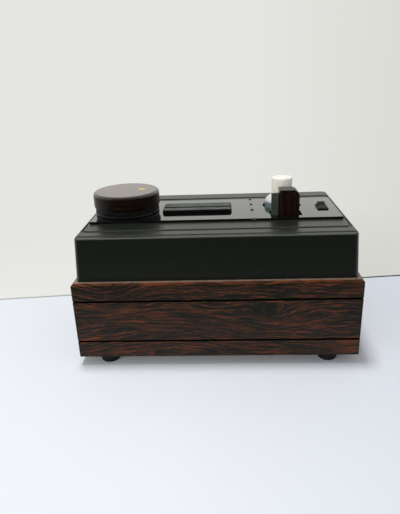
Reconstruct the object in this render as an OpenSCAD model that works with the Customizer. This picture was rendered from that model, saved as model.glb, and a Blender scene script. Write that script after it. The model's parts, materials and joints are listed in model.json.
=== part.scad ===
// A vacuum record cleaning machine, worked by hand, in millimetres.
// The origin is on the floor under the middle of the cabinet. X runs right, Y to the back, Z up.

/* [Cabinet] */
// Width of the wooden base
cabinet_w = 375; // [360:1:400]
// Depth of the wooden base
cabinet_d = 234; // [226:1:260]
// Height of the wooden base without its feet
base_h = 108.5; // [106:0.5:125]
// Thickness of the base's boards
board_t = 15; // [13:0.5:16]
// Height of the lower groove above the base's bottom edge
low_groove_h = 24.5; // [18:0.5:34]
// Height of the upper groove above the base's bottom edge
high_groove_h = 83; // [70:0.5:92]
// Width of the V grooves that part the base into three bands
groove_w = 3; // [2:0.2:4]
// Radius of the base's rounded top edge
ledge_r = 5.5; // [2:0.5:6]
// Radius of the base's upright corners and bottom edge
arris_r = 2; // [1:0.5:3]
// Thickness of the bottom panel
panel_t = 6; // [4:0.5:8]

/* [Feet] */
// Diameter of a rubber foot
foot_d = 25; // [20:1:32]
// Height of a rubber foot
foot_h = 12; // [9:0.5:16]
// From the base's side to the middle of a foot
foot_inset_x = 38; // [28:1:60]
// From the base's front or back to the middle of a foot
foot_inset_y = 18; // [18:1:40]

/* [Hood] */
// Height of the moulded hood
hood_h = 59.5; // [57:0.5:70]
// From the base's side to the hood's foot
hood_inset_x = 6.2; // [4:0.1:8]
// From the base's front to the hood's foot
hood_inset_y = 7.7; // [5:0.1:9]
// From the base's side or front to the hood's top edge
hood_top_inset = 9.4; // [9.2:0.1:11]
// Thickness of the hood's walls
hood_wall = 3; // [2.5:0.1:4]
// Thickness of the hood's top
hood_top_t = 4.5; // [4:0.1:6]
// Radius of the hood's upright corners
hood_corner_r = 6; // [4:0.5:9]
// Width of the lower lip along the hood's front top edge
lip_step_w = 8; // [5:0.5:11]
// Drop of that lip
lip_step_h = 0.9; // [0.6:0.1:1.6]
// Front-to-back distance across the inside of the spill channel
channel_loop_d = 151.5; // [146:0.5:154]
// Width of the spill channel in front of and behind the deck
channel_w = 7; // [5:0.5:9]
// Depth of the spill channel
channel_depth = 1.3; // [1:0.1:2.4]

/* [Deck] */
// From the base's side to the deck's end; the deck is two glossy plates side by side
deck_inset = 16; // [14.5:0.5:18]
// Depth of the deck
deck_d = 103.5; // [100:0.5:110]
// Distance of the deck's middle line behind the cabinet's middle
deck_y = 3.5; // [1:0.1:6]
// Thickness of the deck plates
plate_t = 3; // [2.5:0.1:4]
// Where the joint between the plates lies on the way from the pickup bar to the bottle's well
joint_share = 0.635; // [0.4:0.005:0.8]
// Width of the bright strip over the joint
strip_w = 6; // [5:0.2:8]
// Thickness of that strip
strip_t = 0.6; // [0.5:0.1:1]

/* [Platter and clamp] */
// Distance of the platter's axis from the deck's left end
platter_inset = 44; // [42:0.5:47]
// Diameter of the platter
platter_d = 92; // [86:1:95]
// Thickness of the platter
platter_t = 3; // [2.5:0.1:4]
// Diameter of the rubber mat on the platter
mat_d = 91; // [84:1:92]
// Thickness of the mat
mat_t = 1.8; // [1.4:0.1:2.5]
// Thickness of the rubber pad under the record clamp
pad_t = 5; // [4:0.2:6]
// Diameter of the wooden record clamp
clamp_d = 94; // [88:1:98]
// Height of the record clamp
clamp_h = 21; // [18:0.5:26]
// Radius of the clamp's top edge
clamp_edge_r = 4.3; // [1.5:0.1:5]
// Diameter of the brass index dot
dot_d = 9.6; // [7:0.2:12]
// Distance of the dot from the clamp's axis
dot_offset = 22.8; // [18:0.2:32]
// Diameter of the pin that centres the record
spindle_d = 7.2; // [7:0.02:7.22]
// Diameter of the platter's shaft
shaft_d = 8; // [7:0.5:10]
// Length of the platter's bearing
bearing_len = 50; // [46:1:52]

/* [Vacuum pickup] */
// Length of the pickup bar
pickup_len = 98.5; // [92:0.5:99]
// Width of the pickup bar, front to back
pickup_w = 38.6; // [34:0.2:42]
// Distance of the suction slot in front of the bar's middle
slot_front = 3.5; // [0:0.5:5]
// Distance from the platter's axis to the near end of the pickup
pickup_start = 52.5; // [51:0.5:57]
// Height of the velvet lips above the bar
lip_h = 2.2; // [1.8:0.1:3]
// Width of the suction slot
slot_w = 3; // [2.4:0.1:3.6]
// Distance between the velvet lips
lip_gap = 5; // [4:0.2:7]

/* [Bottle] */
// Diameter of the fluid bottle
bottle_d = 48.6; // [44:0.2:50]
// Height of the bottle's straight side
bottle_side_h = 69; // [66:0.5:72]
// Height of the bottle's shoulder
shoulder_h = 11; // [8:0.5:14]
// Diameter of the bottle's neck
neck_d = 24; // [20:0.5:25]
// Diameter of the bottle's cap
bottle_cap_d = 29.2; // [28.2:0.2:32]
// Height of the bottle's cap
bottle_cap_h = 23.5; // [20:0.5:28]
// Distance of the bottle's axis from the deck's right end
bottle_inset = 74.9; // [72.5:0.1:76.5]
// Distance of the bottle behind the middle
bottle_y = 17.4; // [17:0.2:20]
// Depth of the bottle below the deck
bottle_depth = 62; // [60:0.5:63]

/* [Brush] */
// Width of the brush's wooden handle
handle_w = 26.5; // [22:0.5:28]
// Thickness of the brush's handle
handle_t = 22; // [19:0.5:22.5]
// Length of the brush's handle
handle_len = 94.5; // [88:0.5:97]
// Radius of the handle's two outer corners
handle_r = 9; // [6:0.5:11]
// Length of the bristles
bristle_len = 10.5; // [8:0.5:11]
// Thickness of the row of bristles
bristle_t = 8; // [6.5:0.5:12]
// Number of bristles along the handle
bristle_rows = 80; // [70:1:83]
// Number of bristles across the row
bristle_columns = 5; // [4:1:6]
// Distance of the handle's middle right of the bottle's axis
brush_shift = 4.6; // [3.4:0.2:5.4]
// Distance of the brush in front of the cabinet's middle
brush_front = 26; // [25.8:0.1:27]

/* [Switch] */
// Width of the rocker switch's frame
switch_w = 15; // [14:0.5:17]
// Length of the rocker switch's frame
switch_len = 27; // [25:0.5:29]
// Distance of the switch from the deck's right end
switch_inset = 20; // [17.5:0.5:22.5]
// Distance of the switch behind the cabinet's middle
switch_y = 0.5; // [-2:0.5:6]
// Half of the rocker's swing in degrees
rocker_tilt = 12; // [8:1:13]

/* [Inside] */
// Diameter of the vacuum motor's fan case
fan_case_d = 104; // [98:1:106]
// Diameter of the vacuum motor
motor_d = 76; // [70:1:80]
// Height of the waste tank
tank_h = 80; // [70:1:82]
// Number of vanes on the fan wheel
vane_count = 9; // [7:1:12]

/* [Hidden] */
$fn = 96;
eps = 0.01;
// Clearance between pieces that sit still and between pieces that turn
fit_gap = 0.1;
run_gap = 0.06;
seat_gap = 0.2;
// How far a cut runs past the faces that it opens
over = 1;

base_z = foot_h;
base_top = base_z + base_h;
hood_top = base_top + hood_h;
deck_z = hood_top + plate_t;
under_hood = hood_top - hood_top_t;
panel_top = base_z + panel_t;
inner_w = cabinet_w - 2 * board_t;
inner_d = cabinet_d - 2 * board_t;
back_y = cabinet_d / 2;
deck_w = cabinet_w - 2 * deck_inset;
deck_front = deck_y - deck_d / 2;

screw_r = 1.7;
screw_head_r = 3.2;
screw_head_t = 2.6;
screw_bite = 12;
screw_sink = 0.3;
foot_screw_r = 2;
foot_screw_head_r = 4.2;
foot_screw_head_t = 2.5;
foot_screw_z = 2.4;

platter_x = platter_inset - deck_w / 2;
platter_y = deck_y;
platter_z = deck_z + 0.5;
mat_z = platter_z + platter_t;
record_z = mat_z + mat_t;
pad_z = record_z + seat_gap;
clamp_z = pad_z + pad_t;
dot_angle = 5;
dot_t = 1.7;
dot_sink = 1.5;
bush_d = 16;
bush_h = 15;
bush_wall = 2;
slip_gap = 0.15;
spindle_top = clamp_z + bush_h - bush_wall - 1;
collar_r = 8;
bearing_d = 22;
bearing_flange_r = 25;
bearing_flange_t = 5;
bearing_top = platter_z - seat_gap;
bearing_bottom = bearing_top - bearing_len;
collar_t = 5;
collar_z = bearing_bottom - seat_gap - collar_t;

hood_edge_r = 3;
hood_inner_r = 1;
channel_y = -3.2;
channel_side_w = 2.8;
channel_loop_w = deck_w + 1.8;

pickup_x0 = platter_x + pickup_start;
pickup_x = pickup_x0 + pickup_len / 2;
pickup_y = deck_y;
slot_y = pickup_y - slot_front;
pickup_h = record_z - deck_z - lip_h;
pickup_wall = 4;
pickup_corner_r = 5;
throat_len = pickup_len - 6;
throat_w = 14;
throat_wall = 2;
throat_bottom = under_hood - 6;
duct_wall = 2;
duct_h = 18;
hose_r = 14;
hose_wall = 2;
lip_margin = 1;

well_gap = 3.2;
well_wall = 1.8;
well_r = bottle_d / 2 + well_gap;
bottle_x = deck_w / 2 - bottle_inset;
bottle_wall = 1.2;
bottle_foot_r = 3;
neck_h = 15;
bottle_z = deck_z - bottle_depth;
well_floor = bottle_z - seat_gap;
neck_z = bottle_z + bottle_side_h + shoulder_h;
bottle_cap_z = neck_z + seat_gap;
brush_y = -brush_front;
handle_x0 = bottle_x + brush_shift - handle_w / 2;
brush_depth = 60;
brush_z = deck_z - brush_depth;
brush_room = [1.6, 4.4, 1];
brush_well_x0 = handle_x0 - bristle_len - brush_room[0];
brush_well_x1 = handle_x0 + handle_w + brush_room[1];
brush_well_d = handle_t + 2 * brush_room[2];

pickup_x1 = pickup_x0 + pickup_len;
joint_x = pickup_x1 + joint_share * (bottle_x - well_r - pickup_x1);
joint_gap = 1;
strip_slot = [3.6, 8.6];
first_slot = 36.2;
slot_pitch = 29;

switch_x = deck_w / 2 - switch_inset;
frame_h = 1.6;
cutout_w = switch_w - 2;
cutout_len = switch_len - 2.4;
rocker_gap = 0.35;
rocker_wall = 1;
rocker_w = cutout_w - 2 * (rocker_wall + rocker_gap);
rocker_r = cutout_len / 2 - rocker_wall - rocker_gap;
pivot_z = deck_z - 0.6;
pivot_r = 1.2;

motor_room = 12.5;
motor_len = 76;
motor_x0 = motor_room - inner_w / 2;
motor_z = panel_top + fan_case_d / 2 + 2;
fan_len = 40;
fan_x0 = motor_x0 + motor_len;
fan_x1 = fan_x0 + fan_len;
intake_r = 17;
intake_wall = 2.5;
intake_len = 10;
sleeve_len = 26;
rotor_r = 4;
wheel_inset = 6;
wheel_w = 18;
tank_x0 = fan_x1 + sleeve_len;
tank_x1 = inner_w / 2 - 8;
tank_d = 140;
tank_wall = 2.5;
tank_top = panel_top + tank_h;
duct_x = tank_x0 + hose_r + 6.25;
drain_x = tank_x1 - 44.5;
drain_z = panel_top + 24;
drain_r = 7;
drain_wall = 2;
drain_end = back_y - 5;
drain_pocket_r = 18;
gland_x = 67.5 - cabinet_w / 2;
gland_z = base_z + 46;
gland_r = 3.9;
gland_neck_r = 8;
gland_flange_r = 11;
gland_flange_t = 3.5;
gland_pocket = 6;
cleat_gap = 0.9;
cleat_h = 10;

// A rectangle with round corners, about its middle
module rounded_square(w, d, r) {
    square([w - 2 * r, d], center = true);
    square([w, d - 2 * r], center = true);
    for (x = [-1, 1], y = [-1, 1])
        translate([x * (w / 2 - r), y * (d / 2 - r)])
            circle(r);
}

// A tube along Z
module tube(r_out, r_in, h) {
    difference() {
        cylinder(r = r_out, h = h);
        translate([0, 0, -over])
            cylinder(r = r_in, h = h + 2 * over);
    }
}

// The places of the four feet and of the screws round the bottom panel
foot_x = cabinet_w / 2 - foot_inset_x;
foot_y = cabinet_d / 2 - foot_inset_y;
rebate = 8;
panel_w = inner_w + 2 * rebate - 2 * fit_gap;
panel_d = inner_d + 2 * rebate - 2 * fit_gap;
screw_inset = rebate / 2;
panel_screw_places = [
    for (x = [-1, 0, 1], y = [-1, 1]) [x * inner_w * 0.42, y * (inner_d / 2 + screw_inset)],
    for (x = [-1, 1]) [x * (inner_w / 2 + screw_inset), 0],
];

// Section of a base board: x runs from its inside to its outside, y up from its bottom edge. The outside has two V
// grooves, a rounded top edge and an eased bottom edge, and the inside a rebate for the bottom panel
module board_section() {
    difference() {
        square([board_t, base_h]);
        for (h = [low_groove_h, high_groove_h])
            translate([board_t, h])
                rotate(45)
                    square(groove_w / sqrt(2), center = true);
        translate([board_t - ledge_r, base_h - ledge_r])
            difference() {
                square(ledge_r + over);
                circle(ledge_r);
            }
        translate([board_t - arris_r, arris_r])
            difference() {
                translate([0, -arris_r - over])
                    square(arris_r + over);
                circle(arris_r);
            }
        translate([-over, -over])
            square([rebate + over, panel_t + over + fit_gap]);
    }
}

// A mitred board, turned to its side of the base: half is that side's distance from the middle, reach the distance
// from the middle to the board's ends
module board(angle, half, reach) {
    color("#3a1f17")
    rotate([0, 0, angle])
        intersection() {
            translate([half - board_t, 0, base_z])
                rotate([90, 0, 0])
                    linear_extrude(2 * (reach + over), center = true)
                        board_section();
            translate([0, 0, base_z - over])
                linear_extrude(base_h + 2 * over)
                    intersection() {
                        polygon([
                            [half - board_t, board_t - reach],
                            [half, -reach],
                            [half, reach],
                            [half - board_t, reach - board_t],
                        ]);
                        rounded_square(2 * half, 2 * reach, arris_r);
                    }
        }
}

// Pilot holes in the boards for the bottom panel's screws
module panel_screw_holes() {
    for (p = panel_screw_places)
        translate([p[0], p[1], base_z])
            cylinder(r = screw_r + fit_gap, h = panel_t + screw_bite + 2);
}

module front_board() {
    difference() {
        board(-90, cabinet_d / 2, cabinet_w / 2);
        panel_screw_holes();
    }
}

module left_board() {
    difference() {
        board(180, cabinet_w / 2, cabinet_d / 2);
        panel_screw_holes();
    }
}

module right_board() {
    difference() {
        board(0, cabinet_w / 2, cabinet_d / 2);
        panel_screw_holes();
    }
}

// The rear board has a wide hole round the drain and a stepped one for the cord gland
module rear_board() {
    difference() {
        board(90, cabinet_d / 2, cabinet_w / 2);
        panel_screw_holes();
        translate([drain_x, inner_d / 2 - over, drain_z])
            rotate([-90, 0, 0])
                cylinder(r = drain_pocket_r, h = board_t + 2 * over);
        translate([gland_x, back_y - gland_pocket, gland_z])
            rotate([-90, 0, 0])
                cylinder(r = gland_flange_r + 3, h = gland_pocket + over);
        translate([gland_x, inner_d / 2 - over, gland_z])
            rotate([-90, 0, 0])
                cylinder(r = gland_neck_r + fit_gap, h = board_t + 2 * over);
    }
}

// Four wooden strips on the boards' top edges that locate the hood from inside
module hood_cleats() {
    end_room = 20;
    half_x = cabinet_w / 2 - hood_inset_x - hood_wall - cleat_gap;
    half_y = cabinet_d / 2 - hood_inset_y - hood_wall - cleat_gap;
    color("#8a6a48")
    for (s = [-1, 1]) {
        translate([0, s * (half_y + inner_d / 2) / 2, base_top + cleat_h / 2])
            cube([inner_w - 2 * end_room, half_y - inner_d / 2, cleat_h], center = true);
        translate([s * (half_x + inner_w / 2) / 2, 0, base_top + cleat_h / 2])
            cube([half_x - inner_w / 2, inner_d - 2 * end_room, cleat_h], center = true);
    }
}

// Bottom panel with air slots under the motor
module bottom_panel() {
    slot_count = 6;
    slot_pitch = 12;
    slot_size = [4, 22];
    color("#4b4038")
    difference() {
        translate([-panel_w / 2, -panel_d / 2, base_z])
            cube([panel_w, panel_d, panel_t]);
        for (i = [0 : slot_count])
            translate([motor_x0 + 6 + i * slot_pitch, -panel_d * 0.33, base_z - over])
                cube([slot_size[0], slot_size[1], panel_t + 2 * over]);
        for (x = [-1, 1], y = [-1, 1])
            translate([x * foot_x, y * foot_y, base_z - over])
                cylinder(r = foot_screw_r + fit_gap, h = panel_t + 2 * over);
        for (p = panel_screw_places)
            translate([p[0], p[1], base_z - over]) {
                cylinder(r = screw_r + seat_gap, h = panel_t + 2 * over);
                cylinder(r = screw_head_r + seat_gap, h = screw_head_t + screw_sink + over + fit_gap);
            }
    }
}

// Turned rubber foot with a deep screw hole
module foot(x, y) {
    edge_r = 1.5;
    head_hole = [foot_screw_head_r + 0.4, foot_screw_z + foot_screw_head_t + fit_gap];
    color("#161616")
    translate([x * foot_x, y * foot_y, 0])
        rotate_extrude()
            difference() {
                union() {
                    square([foot_d / 2 - edge_r, foot_h]);
                    translate([0, edge_r])
                        square([foot_d / 2, foot_h - edge_r]);
                    translate([foot_d / 2 - edge_r, edge_r])
                        circle(edge_r, $fn = 32);
                }
                square([foot_screw_r + fit_gap, foot_h + over]);
                square(head_hole);
            }
}

// Four screws that hold the feet to the bottom panel
module foot_screws() {
    color("#8c8c88")
    for (x = [-1, 1], y = [-1, 1])
        translate([x * foot_x, y * foot_y, 0]) {
            translate([0, 0, foot_screw_z])
                cylinder(r = foot_screw_head_r, h = foot_screw_head_t);
            translate([0, 0, foot_screw_z + foot_screw_head_t - over])
                cylinder(r = foot_screw_r, h = foot_h + panel_t - foot_screw_z);
        }
}

// Screws that hold the bottom panel to the base's boards
module panel_screws() {
    color("#8c8c88")
    for (p = panel_screw_places)
        translate([p[0], p[1], base_z]) {
            translate([0, 0, screw_sink])
                cylinder(r = screw_head_r, h = screw_head_t);
            translate([0, 0, screw_sink + over])
                cylinder(r = screw_r, h = panel_t + screw_bite - screw_sink - over);
        }
}

// One level of the hood's outside, drawn in by a wall thickness
module hood_level(z, inset_x, inset_y, wall) {
    translate([0, 0, z])
        linear_extrude(eps)
            rounded_square(cabinet_w - 2 * (inset_x + wall), cabinet_d - 2 * (inset_y + wall), hood_corner_r - wall / 2,
                $fn = 32);
}

// The hood's drafted and edge-rounded form
module hood_form(wall, top, edge_r) {
    steps = 4;
    hull() {
        hood_level(base_top, hood_inset_x, hood_inset_y, wall);
        for (i = [0 : steps])
            hood_level(top - eps - edge_r * (1 - sin(90 * i / steps)), hood_top_inset + edge_r * (1 - cos(90 * i / steps)),
                hood_top_inset + edge_r * (1 - cos(90 * i / steps)), wall);
    }
}

// The openings that the deck plates and the hood's top share, cut to a clearance
module deck_openings(gap) {
    translate([platter_x, platter_y])
        circle(bearing_d / 2 + gap);
    translate([pickup_x, slot_y])
        square([throat_len + 2 * gap, throat_w + 2 * gap], center = true);
    translate([bottle_x, bottle_y])
        circle(well_r);
    translate([brush_well_x0, brush_y - brush_well_d / 2])
        square([brush_well_x1 - brush_well_x0, brush_well_d]);
    translate([switch_x, switch_y])
        square([cutout_w + 2 * gap, cutout_len + 2 * gap], center = true);
}

// Moulded hood: one thin shell with drafted walls, a stepped front lip, a spill channel round the deck, the deck's
// openings and a row of air slots in its back wall
module hood() {
    vent_count = 12;
    vent_pitch = 8;
    vent_size = [3, 26];
    vent_z = base_top + 14;
    channel_r = 4;
    color("#1b1d1c")
    difference() {
        hood_form(0, hood_top, hood_edge_r);
        translate([0, 0, -over])
            hood_form(hood_wall, under_hood + over, hood_inner_r);
        translate([-cabinet_w / 2, -cabinet_d / 2, hood_top - lip_step_h])
            cube([cabinet_w, hood_top_inset + lip_step_w, lip_step_h + over]);
        translate([0, channel_y, hood_top - channel_depth])
            linear_extrude(channel_depth + over)
                difference() {
                    rounded_square(channel_loop_w + 2 * channel_side_w, channel_loop_d + 2 * channel_w, channel_r + 2);
                    rounded_square(channel_loop_w, channel_loop_d, channel_r);
                }
        translate([0, 0, under_hood - over])
            linear_extrude(hood_top_t + 2 * over)
                deck_openings(fit_gap);
        for (i = [0 : vent_count - 1])
            translate([platter_x - 12 + i * vent_pitch, back_y - hood_top_inset - 2 * hood_wall, vent_z])
                cube([vent_size[0], hood_top_inset + 2 * hood_wall, vent_size[1]]);
    }
}

// The three slots that the strip and the plates under it share
module strip_slots() {
    for (i = [0 : 2])
        translate([joint_x - strip_slot[0] / 2, deck_front + first_slot + i * slot_pitch])
            square(strip_slot);
}

// One glossy plate of the deck, from x0 to x1
module deck_plate(x0, x1) {
    color("#20221f")
    translate([0, 0, hood_top])
        linear_extrude(plate_t)
            difference() {
                translate([x0, deck_front])
                    square([x1 - x0, deck_d]);
                deck_openings(fit_gap);
                strip_slots();
            }
}

// Bright strip over the joint of the deck plates, folded over their front edge, with three slots
module joint_strip() {
    fold_h = 1.8;
    color("#b9bab5")
    difference() {
        union() {
            translate([joint_x - strip_w / 2, deck_front - strip_t, deck_z])
                cube([strip_w, deck_d + strip_t, strip_t]);
            translate([joint_x - strip_w / 2, deck_front - strip_t, deck_z - fold_h])
                cube([strip_w, strip_t, fold_h + eps]);
        }
        translate([0, 0, deck_z - over])
            linear_extrude(strip_t + 2 * over)
                strip_slots();
    }
}

// Flanged bearing that hangs in the hood's top
module bearing_housing() {
    color("#8f8a78")
    translate([platter_x, platter_y, 0])
        difference() {
            union() {
                translate([0, 0, bearing_bottom])
                    cylinder(r = bearing_d / 2, h = bearing_len);
                translate([0, 0, under_hood - bearing_flange_t])
                    cylinder(r = bearing_flange_r, h = bearing_flange_t);
            }
            translate([0, 0, bearing_bottom - over])
                cylinder(r = shaft_d / 2 + run_gap, h = bearing_len + 2 * over);
        }
}

// Platter with its shaft below and the record's pin above
module platter() {
    bevel = 0.5;
    tip = [1.6, 2];
    shaft_stub = 2;
    color("#1d1f1e")
    translate([platter_x, platter_y, 0]) {
        rotate_extrude()
            translate([0, platter_z])
                polygon([
                    [0, 0],
                    [platter_d / 2 - bevel, 0],
                    [platter_d / 2, bevel],
                    [platter_d / 2, platter_t - bevel],
                    [platter_d / 2 - bevel, platter_t],
                    [0, platter_t],
                ]);
        translate([0, 0, collar_z - shaft_stub])
            cylinder(r = shaft_d / 2, h = platter_z - collar_z + shaft_stub + over);
        translate([0, 0, mat_z - over])
            cylinder(r = spindle_d / 2, h = spindle_top - tip[1] - mat_z + over);
        translate([0, 0, spindle_top - tip[1]])
            rotate_extrude()
                polygon([[0, 0], [spindle_d / 2, 0], [spindle_d / 2 - tip[0], tip[1]], [0, tip[1]]]);
    }
}

// Collar that keeps the shaft in its bearing
module shaft_collar() {
    color("#b0aa90")
    translate([platter_x, platter_y, collar_z])
        difference() {
            cylinder(r = collar_r, h = collar_t);
            translate([0, 0, -over])
                cylinder(r = shaft_d / 2, h = collar_t + 2 * over);
        }
}

// Rubber mat with shallow rings in its top
module platter_mat() {
    hole_gap = 1.4;
    first_ring = 12;
    ring_pitch = 6;
    ring_w = 3;
    ring_depth = 0.4;
    color("#151515")
    translate([platter_x, platter_y, mat_z])
        rotate_extrude()
            difference() {
                translate([spindle_d / 2 + hole_gap, 0])
                    square([(mat_d - spindle_d) / 2 - hole_gap, mat_t]);
                for (i = [0 : 4])
                    translate([first_ring + i * ring_pitch, mat_t - ring_depth])
                        square([ring_w, ring_depth + over]);
            }
}

// Turned wooden clamp that holds the record down and is the knob that turns it
module clamp_knob() {
    r = clamp_d / 2;
    foot_chamfer = 1;
    color("#5b3528")
    translate([platter_x, platter_y, clamp_z])
        difference() {
            rotate_extrude() {
                polygon([
                    [0, 0],
                    [r - foot_chamfer, 0],
                    [r, foot_chamfer],
                    [r, clamp_h - clamp_edge_r],
                    [r - clamp_edge_r, clamp_h],
                    [0, clamp_h],
                ]);
                translate([r - clamp_edge_r, clamp_h - clamp_edge_r])
                    circle(clamp_edge_r);
            }
            translate([0, 0, -over])
                cylinder(r = bush_d / 2, h = bush_h + over);
            rotate([0, 0, dot_angle])
                translate([dot_offset, 0, clamp_h - dot_sink])
                    cylinder(r = dot_d / 2, h = dot_sink + over);
        }
}

// Bush in the clamp that slips over the record's pin
module clamp_bush() {
    color("#b08d57")
    translate([platter_x, platter_y, clamp_z])
        difference() {
            cylinder(r = bush_d / 2, h = bush_h);
            translate([0, 0, -over])
                cylinder(r = spindle_d / 2 + slip_gap, h = bush_h - bush_wall + over);
        }
}

// Rubber pad under the clamp, hollowed so that only its rim presses on the record's label
module clamp_pad() {
    rim_w = 11;
    hollow = 1;
    hole_gap = 1;
    color("#101010")
    translate([platter_x, platter_y, pad_z])
        rotate_extrude()
            difference() {
                translate([bush_d / 2 + hole_gap, 0])
                    square([(mat_d - bush_d) / 2 - hole_gap, pad_t]);
                translate([0, -over])
                    square([mat_d / 2 - rim_w, hollow + over]);
            }
}

// Brass dot that shows how far the record has turned
module index_dot() {
    color("#d9a441")
    translate([platter_x, platter_y, clamp_z + clamp_h - dot_sink])
        rotate([0, 0, dot_angle])
            translate([dot_offset, 0, 0])
                cylinder(r = dot_d / 2, h = dot_t);
}

// Pickup bar with the suction slot and a throat that goes down through the deck
module pickup_bar() {
    color("#0f1010")
    difference() {
        union() {
            translate([pickup_x, pickup_y, deck_z])
                linear_extrude(pickup_h)
                    rounded_square(pickup_len, pickup_w, pickup_corner_r);
            translate([pickup_x - throat_len / 2, slot_y - throat_w / 2, throat_bottom])
                cube([throat_len, throat_w, deck_z - throat_bottom + over]);
        }
        translate([pickup_x - pickup_len / 2 + pickup_wall, slot_y - slot_w / 2, throat_bottom - over])
            cube([pickup_len - 2 * pickup_wall, slot_w, record_z - throat_bottom]);
        translate([pickup_x - throat_len / 2 + throat_wall, slot_y - throat_w / 2 + throat_wall, throat_bottom - over])
            cube([throat_len - 2 * throat_wall, throat_w - 2 * throat_wall, deck_z - throat_bottom + over]);
    }
}

// One pillow-edged velvet lip between the slot and the bar's side: side is -1 for the front and 1 for the rear one
module velvet_lip(side) {
    edge = 1.6;
    inner = slot_y + side * lip_gap / 2;
    outer = pickup_y + side * (pickup_w / 2 - lip_margin);
    w = abs(outer - inner);
    color("#0c0c0d")
    translate([pickup_x, (inner + outer) / 2, deck_z + pickup_h])
        rotate([90, 0, 90])
            linear_extrude(pickup_len - 2 * lip_margin, center = true) {
                translate([-w / 2, 0])
                    square([w, lip_h - edge]);
                translate([-w / 2 + edge, 0])
                    square([w - 2 * edge, lip_h]);
                for (s = [-1, 1])
                    translate([s * (w / 2 - edge), lip_h - edge])
                        intersection() {
                            circle(edge);
                            translate([-edge, edge - lip_h])
                                square([2 * edge, lip_h]);
                        }
            }
}

// Duct under the deck that gathers the slot's air into one round outlet
module pickup_duct() {
    inner_l = throat_len + 2 * fit_gap;
    inner_t = throat_w + 2 * fit_gap;
    bottom = under_hood - duct_h;
    spigot_h = 14;
    root_h = 6;
    color("#2a2c2b")
    difference() {
        union() {
            translate([pickup_x - inner_l / 2 - duct_wall, slot_y - inner_t / 2 - duct_wall, bottom])
                cube([inner_l + 2 * duct_wall, inner_t + 2 * duct_wall, duct_h]);
            translate([duct_x, slot_y, bottom - spigot_h])
                cylinder(r = hose_r, h = spigot_h + root_h);
        }
        translate([pickup_x - inner_l / 2, slot_y - inner_t / 2, bottom + duct_wall])
            cube([inner_l, inner_t, duct_h]);
        translate([duct_x, slot_y, bottom - spigot_h - over])
            cylinder(r = throat_w / 2, h = spigot_h + duct_wall + 2 * over);
    }
}

// Ribbed hose from the duct down to the waste tank
module suction_hose() {
    z0 = tank_top + seat_gap;
    z1 = under_hood - duct_h - seat_gap;
    ribs = 9;
    rib_r = 1.2;
    plain_end = 12;
    color("#3a3c3b")
    translate([duct_x, slot_y, 0])
        rotate_extrude()
            difference() {
                union() {
                    translate([hose_r + fit_gap, z0])
                        square([hose_wall, z1 - z0]);
                    for (i = [0 : ribs - 1])
                        translate([hose_r + hose_wall, z0 + plain_end + i * (z1 - z0 - 2 * plain_end) / (ribs - 1)])
                            circle(rib_r, $fn = 24);
                }
                translate([0, z0])
                    square([hose_r + fit_gap, z1 - z0]);
            }
}

// Waste tank: a closed hollow box with an inlet on top, an outlet to the fan and a drain at the back
module waste_tank() {
    inlet_h = 12;
    outlet_h = 10;
    color("#c9c6b8")
    difference() {
        union() {
            translate([tank_x0, -tank_d / 2, panel_top])
                cube([tank_x1 - tank_x0, tank_d, tank_h]);
            translate([duct_x, slot_y, tank_top - over])
                cylinder(r = hose_r, h = inlet_h + over);
            translate([tank_x0 + over, 0, motor_z])
                rotate([0, -90, 0])
                    cylinder(r = intake_r, h = outlet_h + over);
            translate([drain_x, tank_d / 2 - over, drain_z])
                rotate([-90, 0, 0])
                    cylinder(r = drain_r, h = drain_end - tank_d / 2 + over);
        }
        translate([tank_x0 + tank_wall, -tank_d / 2 + tank_wall, panel_top + tank_wall])
            cube([tank_x1 - tank_x0 - 2 * tank_wall, tank_d - 2 * tank_wall, tank_h - 2 * tank_wall]);
        translate([duct_x, slot_y, tank_top - tank_wall - over])
            cylinder(r = hose_r - intake_wall, h = inlet_h + tank_wall + 2 * over);
        translate([tank_x0 + tank_wall + over, 0, motor_z])
            rotate([0, -90, 0])
                cylinder(r = intake_r - intake_wall, h = outlet_h + tank_wall + 2 * over);
        translate([drain_x, tank_d / 2 - tank_wall - over, drain_z])
            rotate([-90, 0, 0])
                cylinder(r = drain_r - drain_wall, h = drain_end);
    }
}

// Rubber sleeve that joins the fan's intake to the tank
module intake_sleeve() {
    color("#171717")
    translate([fan_x1 + seat_gap, 0, motor_z])
        rotate([0, 90, 0])
            tube(intake_r + 3, intake_r + fit_gap, sleeve_len - 2 * seat_gap);
}

// Fan case: a hollow drum with an intake collar
module fan_case() {
    wall = 2.5;
    port = [12, 8, 12];
    color("#9a9c98")
    translate([fan_x0, 0, motor_z])
        rotate([0, 90, 0])
            difference() {
                union() {
                    cylinder(r = fan_case_d / 2, h = fan_len);
                    cylinder(r = intake_r, h = fan_len + intake_len);
                }
                translate([0, 0, wall])
                    cylinder(r = fan_case_d / 2 - wall, h = fan_len - 2 * wall);
                translate([0, 0, fan_len - 2 * wall])
                    cylinder(r = intake_r - intake_wall, h = intake_len + 2 * wall + over);
                translate([0, 0, -over])
                    cylinder(r = rotor_r + 2, h = wall + 2 * over);
                for (a = [15 : 30 : 345])
                    rotate([0, 0, a])
                        translate([fan_case_d / 2 - port[0] / 2, -port[1] / 2, wheel_inset])
                            cube(port);
            }
}

// Motor case: a hollow drum with a bearing at each end and cooling holes round its far end
module motor_case() {
    wall = 3;
    hole_r = 4;
    color("#7d807c")
    translate([motor_x0, 0, motor_z])
        rotate([0, 90, 0])
            difference() {
                cylinder(r = motor_d / 2, h = motor_len);
                translate([0, 0, wall])
                    cylinder(r = motor_d / 2 - wall, h = motor_len - 2 * wall);
                translate([0, 0, -over])
                    cylinder(r = rotor_r + run_gap, h = motor_len + 2 * over);
                for (a = [0 : 45 : 315])
                    rotate([0, 0, a])
                        translate([motor_d / 2 - 3 * hole_r, 0, -over])
                            cylinder(r = hole_r, h = wall + 2 * over);
            }
}

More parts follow.
